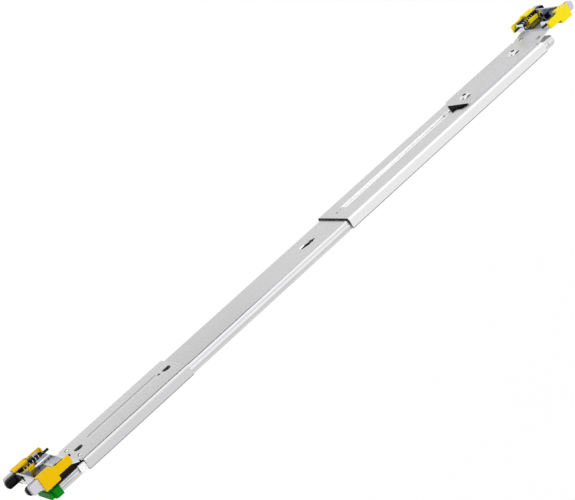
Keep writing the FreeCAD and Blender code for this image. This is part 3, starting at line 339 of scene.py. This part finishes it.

# finishes: effect, its values, metallic, bump, and what only some of them have; a rim is its painted tone
# for faces that look along X and the two slopes between which it comes in
sheet = colour(0.67, 0.67, 0.68)
# rim tones: painted shade on the rear bracket's cut edges, painted highlight on the frames' rims
rimShade = (colour(0.015, 0.015, 0.015), 0.8, 0.95)
rimHighlight = (colour(0.74, 0.77, 0.84), 0.35, 0.6)
# blue zinc made dark: painted shade and dark reflections for the latch heads' frames
shadedBlue = rolled(colour(0.085, 0.10, 0.14), 0.16, 60.0, 300.0, 0.2)
looks = {
    "sheetZinc": (millGrain, rolled(sheet, 0.45), 0.9, 0.06, {"worn": 0.05}),
    "frontZinc": (millGrain, rolled(colour(0.75, 0.75, 0.76), 0.28), 0.95, 0.06,
                  {"worn": 0.15, "patches": patchwork["front_bracket"]}),
    "rearZinc": (millGrain, rolled(sheet, 0.28), 0.95, 0.06,
                 {"worn": 0.15, "rim": rimShade, "patches": patchwork["rear_bracket"]}),
    "railZinc": (millGrain, rolled(colour(0.66, 0.66, 0.67), 0.24, 5.0, 900.0, 0.08), 0.95, 0.05,
                 {"worn": 0.15, "patches": patchwork["outer_rail"]}),
    "slideZinc": (millGrain, rolled(colour(0.60, 0.60, 0.61), 0.28, 5.0, 900.0, 0.14), 0.95, 0.08,
                  {"worn": 0.25}),
    "blueZincShaded": (millGrain, shadedBlue, 1.0, 0.1, {"worn": 0.3, "rim": rimHighlight}),
    "frontFrameZincShaded": (millGrain, shadedBlue, 1.0, 0.1,
                       {"worn": 0.3, "rim": rimHighlight, "patches": patchwork["front_head_frame"]}),
    # pale and nearly matt: painted highlight, for the strip under the slot and the shine of the cage stop
    "paleHighlight": (millGrain, rolled(colour(0.80, 0.80, 0.80), 0.2, 5.0, 900.0, 0.05), 0.1, 0.03, {}),
    "postCasting": (mottle, moulded(colour(0.53, 0.52, 0.55), 0.55, 900.0, 0.06), 0.3, 0.2, {}),
    # one yellow paint in two copies: darker on the front latches as painted shade, lighter on the rear
    # latches as painted light
    "yellowShadedFront": (mottle, moulded(colour(0.68, 0.42, 0.0), 0.45, 700.0, 0.05), 0.0, 0.08,
                    {"specular": 0.06}),
    "yellowLitRear": (mottle, moulded(colour(0.76, 0.62, 0.004), 0.45, 700.0, 0.05), 0.0, 0.08,
                   {"specular": 0.15}),
    "darkSteel": (mottle, moulded(colour(0.004, 0.004, 0.006), 0.30, 500.0, 0.2), 0.0, 0.1,
                  {"specular": 0.15}),
    "brightSteel": (millGrain, rolled(colour(0.78, 0.78, 0.80), 0.14, 300.0, 300.0, 0.05), 1.0, 0.03, {}),
    "eyeletSteel": (millGrain, rolled(colour(0.88, 0.88, 0.89), 0.2, 300.0, 300.0, 0.05), 1.0, 0.03,
                    {"patches": patchwork["rear_plate_rivets"]}),
    "greenPlastic": (mottle, moulded(colour(0.0, 0.21, 0.006), 0.42), 0.0, 0.08, {"specular": 0.06}),
    "blackPlastic": (mottle, moulded(colour(0.006, 0.006, 0.007), 0.55, 900.0, 0.10), 0.0, 0.08,
                     {"specular": 0.15}),
    # near black and nearly matt: painted shade for the sheets and discs in openings and bores and for the
    # depth stop
    "shadeBlack": (mottle, moulded(colour(0.0015, 0.0015, 0.0015), 0.6, 900.0, 0.10), 0.0, 0.08,
                  {"specular": 0.03}),
}
made = {name: finishMaterial(name, group, values, metallic, bump, **extra)
        for name, (group, values, metallic, bump, extra) in looks.items()}

# the finish of each material slot, and of the nodes that differ from their slot
finishes = {
    "zinc_sheet": "sheetZinc", "rail_steel": "railZinc", "frame_zinc": "blueZincShaded", "post_grey": "postCasting",
    "latch_yellow": "yellowShadedFront", "bolt_dark": "darkSteel", "spring_steel": "brightSteel",
    "green_plastic": "greenPlastic", "black_plastic": "blackPlastic", "rivet_steel": "brightSteel",
    "ball_steel": "brightSteel", "rubber_black": "blackPlastic",
}
special = {
    "front_bracket": "frontZinc", "front_head_frame": "frontFrameZincShaded", "front_cage_stop": "paleHighlight",
    "rear_bracket": "rearZinc", "rear_plate_rivets": "eyeletSteel", "intermediate_rail": "slideZinc",
    "chassis_rail": "slideZinc", "depth_stop": "shadeBlack",
}
# the rear latch covers and sliders take the lighter, painted light copy of the yellow
special.update({name: "yellowLitRear" for name in nodes
                if name.startswith("rear_") and name.endswith(("latch_cover", "latch_slider"))})
for part in frame["record"]["subparts"]:
    piece = nodes[part["node"]]
    piece.data.materials.clear()
    piece.data.materials.append(made[special.get(part["node"], finishes[part["material_slot"]])])
print("stage: finishes placed, flange edges at", round(frontEdge, 2), round(rearEdge, 2))


# each coil spring of a joint gets its own copy of its mesh
for joint in frame["record"]["behaviour"]["joints"]:
    for coil in joint.get("deforming_nodes", []):
        low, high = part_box(coil["node"])
        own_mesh(nodes[coil["node"]])

mergeDistance = 1e-7


# surfaces on a grid: each row of points is a closed ring, and quads join it to the next row; the
# doubles at a pole are merged, open ends are filled and the faces turned outwards
def gridMesh(name, points, material, body):
    rows, columns = points.shape[:2]
    index = np.arange(rows * columns).reshape(rows, columns)
    index = np.hstack([index, index[:, :1]])
    quads = np.stack([index[:-1, :-1], index[1:, :-1], index[1:, 1:], index[:-1, 1:]], axis=-1)
    quads = quads.reshape(-1, 4)
    mesh = bpy.data.meshes.new(name)
    mesh.from_pydata(points.reshape(-1, 3).tolist(), [], quads.tolist())
    mesh.polygons.foreach_set("use_smooth", np.ones(len(quads), dtype=bool))
    shell = bmesh.new()
    shell.from_mesh(mesh)
    bmesh.ops.remove_doubles(shell, verts=shell.verts, dist=mergeDistance)
    bmesh.ops.holes_fill(shell, edges=shell.edges, sides=0)
    bmesh.ops.recalc_face_normals(shell, faces=shell.faces)
    shell.to_mesh(mesh)
    shell.free()
    mesh.update()
    mesh.materials.append(material)
    piece = bpy.data.objects.new(name, mesh)
    bpy.context.scene.collection.objects.link(piece)
    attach(piece, body)
    return piece


# black sheet behind each opening of the rail's web, painted shade for the dark hollow behind it: a thin flat
# tile, (left, right, low, high)
shadeFilm = {"openings": {"markShadeFilm": (-0.3535, -0.3365, -0.0035, 0.0055),
                     "frontShadeFilm": (-0.0575, -0.0480, -0.0050, 0.0045),
                     "rearShadeFilm": (-0.1645, -0.1480, -0.0055, 0.0045)},
        "depth": 0.00125, "thick": 0.0003, "columns": 40}


def filmPoints(left, right, low, high):
    # each ring is the rectangle drawn in by a share of its half size; back and front meet at the rim
    share = np.array([0.0, 0.5, 1.0, 1.0, 0.5, 0.0])
    bulge = np.array([0.0, 0.0, 0.0, 1.0, 1.0, 1.0])
    turn = np.linspace(0, 2 * np.pi, shadeFilm["columns"], endpoint=False)
    squared = np.maximum(np.abs(np.cos(turn)), np.abs(np.sin(turn)))
    x = (left + right) / 2 + (right - left) / 2 * np.outer(share, np.cos(turn) / squared)
    z = (low + high) / 2 + (high - low) / 2 * np.outer(share, np.sin(turn) / squared)
    y = shadeFilm["depth"] + shadeFilm["thick"] * np.outer(bulge, np.ones_like(turn))
    return np.stack([x, y, z], axis=-1)


for name, (left, right, low, high) in shadeFilm["openings"].items():
    gridMesh(name, filmPoints(left, right, low, high), made["shadeBlack"], "outer_member")
print("stage: seal films made")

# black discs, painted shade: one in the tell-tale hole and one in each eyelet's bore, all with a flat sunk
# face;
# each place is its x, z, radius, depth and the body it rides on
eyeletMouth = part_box("rear_plate_rivets")[0].y + 0.0005
shadeDiscs = {"thick": 0.0005, "columns": 32, "places": {
    "tellTaleShadeDisc": (-0.151, -0.0016, 0.00142, -0.0007, "outer_member"),
    "frontEyeletShadeDisc": (-0.584, -0.0008, 0.0021, eyeletMouth, "rear_support"),
    "rearEyeletShadeDisc": (-0.663, -0.0008, 0.0021, eyeletMouth, "rear_support")}}


def shadeDiscPoints(middleX, middleZ, radius, depth):
    # a radius that goes out and back while the height changes side: a flat round disc
    share = np.array([0.0, 0.7, 1.0, 1.0, 0.7, 0.0])
    side = np.array([-1.0, -1.0, -1.0, 1.0, 1.0, 1.0])
    turn = np.linspace(0, 2 * np.pi, shadeDiscs["columns"], endpoint=False)
    x = middleX + radius * np.outer(share, np.cos(turn))
    z = middleZ + radius * np.outer(share, np.sin(turn))
    y = depth + shadeDiscs["thick"] / 2 * np.outer(side, np.ones_like(turn))
    return np.stack([x, y, z], axis=-1)


for name, (middleX, middleZ, radius, depth, body) in shadeDiscs["places"].items():
    gridMesh(name, shadeDiscPoints(middleX, middleZ, radius, depth), made["shadeBlack"], body)

# pale strip on the rail's web, under the rear bracket's slot: a painted highlight that makes the slot read
# lit
strip = {"rear": -0.552, "front": -0.402, "level": -0.003, "halfWidth": 0.0048, "top": 0.00022,
         "fullness": 0.9, "endShare": 0.02, "columns": 24}


def stripPoints():
    # a flat ellipse carried along X, drawn in almost to a point at both ends
    along = np.array([strip["rear"], strip["rear"], strip["front"], strip["front"]])
    share = np.array([strip["endShare"], 1.0, 1.0, strip["endShare"]])
    turn = np.linspace(0, 2 * np.pi, strip["columns"], endpoint=False)
    x = np.outer(along, np.ones_like(turn))
    z = strip["level"] + strip["halfWidth"] * np.outer(share, np.cos(turn))
    y = -strip["top"] / 2 - strip["top"] / 2 * strip["fullness"] * np.outer(share, np.sin(turn))
    return np.stack([x, y, z], axis=-1)


gridMesh("slotHighlightStrip", stripPoints(), made["paleHighlight"], "outer_member")

# dark sheet over the arrow-shaped opening, painted shade for its dark hollow: a long lens, blunt in front and
# drawn out to the rear
arrow = {"tail": -0.3362, "length": 0.0180, "level": 0.0004, "tilt": 0.0020, "halfWidth": 0.0031,
         "lift": 0.00012, "tailShare": 0.25, "widest": 0.4, "rows": 25}


def arrowPoints():
    # half width grows from the tail to two fifths of the length, then falls to nothing at the tip,
    # while the middle line rises evenly by the tilt
    share = np.linspace(0.0, 1.0, arrow["rows"])
    growing = arrow["tailShare"] + (1 - arrow["tailShare"]) * share / arrow["widest"]
    falling = (1 - share) / (1 - arrow["widest"])
    width = arrow["halfWidth"] * np.where(share < arrow["widest"], growing, falling)
    side = np.array([-1.0, 0.0, 1.0, 0.0])
    face = np.array([0.0, -1.0, 0.0, 0.2])
    x = arrow["tail"] - arrow["length"] * np.outer(share, np.ones_like(side))
    z = arrow["level"] + arrow["tilt"] * share[:, None] + np.outer(width, side)
    y = arrow["lift"] * np.outer(np.ones_like(share), face)
    return np.stack([x, y, z], axis=-1)


gridMesh("arrowShadeSheet", arrowPoints(), made["shadeBlack"], "outer_member")
print("stage: plug, strip and inlay made")

# the studio: a pale floor, a soft sky and two dark cloths that only reflections see
studio = {"floorDrop": 0.22, "floorSize": 6.0, "floorTone": (0.92, 0.92, 0.92, 1), "floorRough": 0.9,
          "floorGlow": 0.95, "floorMirror": 0.93, "worldDiffuse": 0.55, "skyLevel": 1.16,
          "skySlope": -0.36}
floorLevel = cadBounds[0][2] - studio["floorDrop"]


def stageSheet(name, corners, material):
    mesh = bpy.data.meshes.new(name)
    mesh.from_pydata(corners, [], [tuple(range(len(corners)))])
    mesh.materials.append(material)
    cover = bpy.data.objects.new(name, mesh)
    bpy.context.scene.collection.objects.link(cover)
    return cover


# the floor's own shading, with a glow for the camera and for mirrors in place of more light
paleFloor = bpy.data.materials.new("paleFloor")
paleFloor.use_nodes = True
floorTree = paleFloor.node_tree
floorShader = floorTree.nodes["Principled BSDF"]
floorShader.inputs["Base Color"].default_value = studio["floorTone"]
floorShader.inputs["Roughness"].default_value = studio["floorRough"]
floorRays = addNode(floorTree, "ShaderNodeLightPath")
seenGlossy = floorRays.outputs["Is Glossy Ray"]
floorGlow = addNode(floorTree, "ShaderNodeEmission")
wire(floorTree, ramp(floorTree, seenGlossy, 0.0, 1.0, 1.0, studio["floorMirror"]),
     floorGlow.inputs["Strength"])
glowShare = sums(floorTree, "MAXIMUM", seenGlossy,
                 sums(floorTree, "MULTIPLY", floorRays.outputs["Is Camera Ray"], studio["floorGlow"]))
floorMix = addNode(floorTree, "ShaderNodeMixShader")
wire(floorTree, glowShare, floorMix.inputs["Fac"])
wire(floorTree, floorShader.outputs["BSDF"], floorMix.inputs[1])
wire(floorTree, floorGlow.outputs["Emission"], floorMix.inputs[2])
wire(floorTree, floorMix.outputs["Shader"], floorTree.nodes["Material Output"].inputs["Surface"])
half = studio["floorSize"] / 2
stageSheet("studioFloor", [(-half, -half, floorLevel), (half, -half, floorLevel),
                           (half, half, floorLevel), (-half, half, floorLevel)], paleFloor)

# cloths on the floor, by their (x, y) corners
cloths = {"tone": 0.05, "lift": 0.002, "corners": {
    "outerCloth": [(-0.39, -0.17), (-0.68, -0.80), (0.9, -0.80), (0.3, -0.17)],
    "innerCloth": [(-1.6, 0.13), (1.0, 0.13), (1.0, 0.5), (-1.6, 0.5)]}}
darkCloth = bpy.data.materials.new("darkCloth")
darkCloth.use_nodes = True
clothTree = darkCloth.node_tree
clothGlow = addNode(clothTree, "ShaderNodeEmission")
clothGlow.inputs["Strength"].default_value = cloths["tone"]
wire(clothTree, clothGlow.outputs["Emission"], clothTree.nodes["Material Output"].inputs["Surface"])
clothLevel = floorLevel + cloths["lift"]
for name, corners in cloths["corners"].items():
    cloth = stageSheet(name, [(x, y, clothLevel) for x, y in corners], darkCloth)
    cloth.visible_camera = False
    cloth.visible_diffuse = False
    cloth.visible_shadow = False
    cloth.visible_transmission = False

# the sky is level for diffuse light; reflections see it brighter on the outer side
world = bpy.data.worlds.new("studioWorld")
bpy.context.scene.world = world
world.use_nodes = True
sky = world.node_tree
background = sky.nodes["Background"]
background.inputs["Color"].default_value = (1, 1, 1, 1)
skyRays = addNode(sky, "ShaderNodeLightPath")
direction = addNode(sky, "ShaderNodeSeparateXYZ")
wire(sky, addNode(sky, "ShaderNodeTexCoord").outputs["Generated"], direction.inputs["Vector"])
mirrored = sums(sky, "MULTIPLY_ADD", direction.outputs["Y"], studio["skySlope"], studio["skyLevel"])
plain = sums(sky, "MAXIMUM", skyRays.outputs["Is Camera Ray"], skyRays.outputs["Is Transmission Ray"])
level = sums(sky, "MULTIPLY_ADD", plain, 1.0 - studio["worldDiffuse"], studio["worldDiffuse"])
fromGlossy = sums(sky, "MULTIPLY", skyRays.outputs["Is Glossy Ray"], sums(sky, "SUBTRACT", mirrored, level))
wire(sky, sums(sky, "ADD", level, fromGlossy), background.inputs["Strength"])

# two soft square lamps, both aimed at the rail's middle
lamps = {"keyLamp": {"place": (-0.2, -1.2, 1.3), "size": 1.6, "energy": 26.0},
         "topLamp": {"place": (-0.5, 0.3, 1.7), "size": 1.8, "energy": 9.0}}
lampAim = Vector((-0.365, 0.0, 0.0))
for name, lamp in lamps.items():
    data = bpy.data.lights.new(name, "AREA")
    data.size = lamp["size"]
    data.energy = lamp["energy"]
    light = bpy.data.objects.new(name, data)
    light.location = lamp["place"]
    light.rotation_euler = (lampAim - Vector(lamp["place"])).to_track_quat("-Z", "Y").to_euler()
    light.visible_glossy = False
    bpy.context.scene.collection.objects.link(light)

# the camera's own axes, where it stands and its lens
lens = {"place": (0.3490, -0.54674, 1.26168), "right": (-0.667540, 0.486726, 0.563461),
        "up": (-0.600456, -0.799386, -0.020847), "focal": 103.9, "sensor": 36.0, "nearest": 0.01}
camera = bpy.data.objects.new("studioCamera", bpy.data.cameras.new("studioCamera"))
bpy.context.scene.collection.objects.link(camera)
right = Vector(lens["right"]).normalized()
back = right.cross(Vector(lens["up"])).normalized()
up = back.cross(right)
turned = Matrix((right, up, back)).transposed().to_4x4()
camera.matrix_world = Matrix.Translation(Vector(lens["place"])) @ turned
camera.data.sensor_width = lens["sensor"]
camera.data.lens = lens["focal"]
camera.data.clip_start = lens["nearest"]
bpy.context.scene.camera = camera
bpy.context.scene.view_settings.view_transform = "Standard"
print("stage: studio and camera placed")
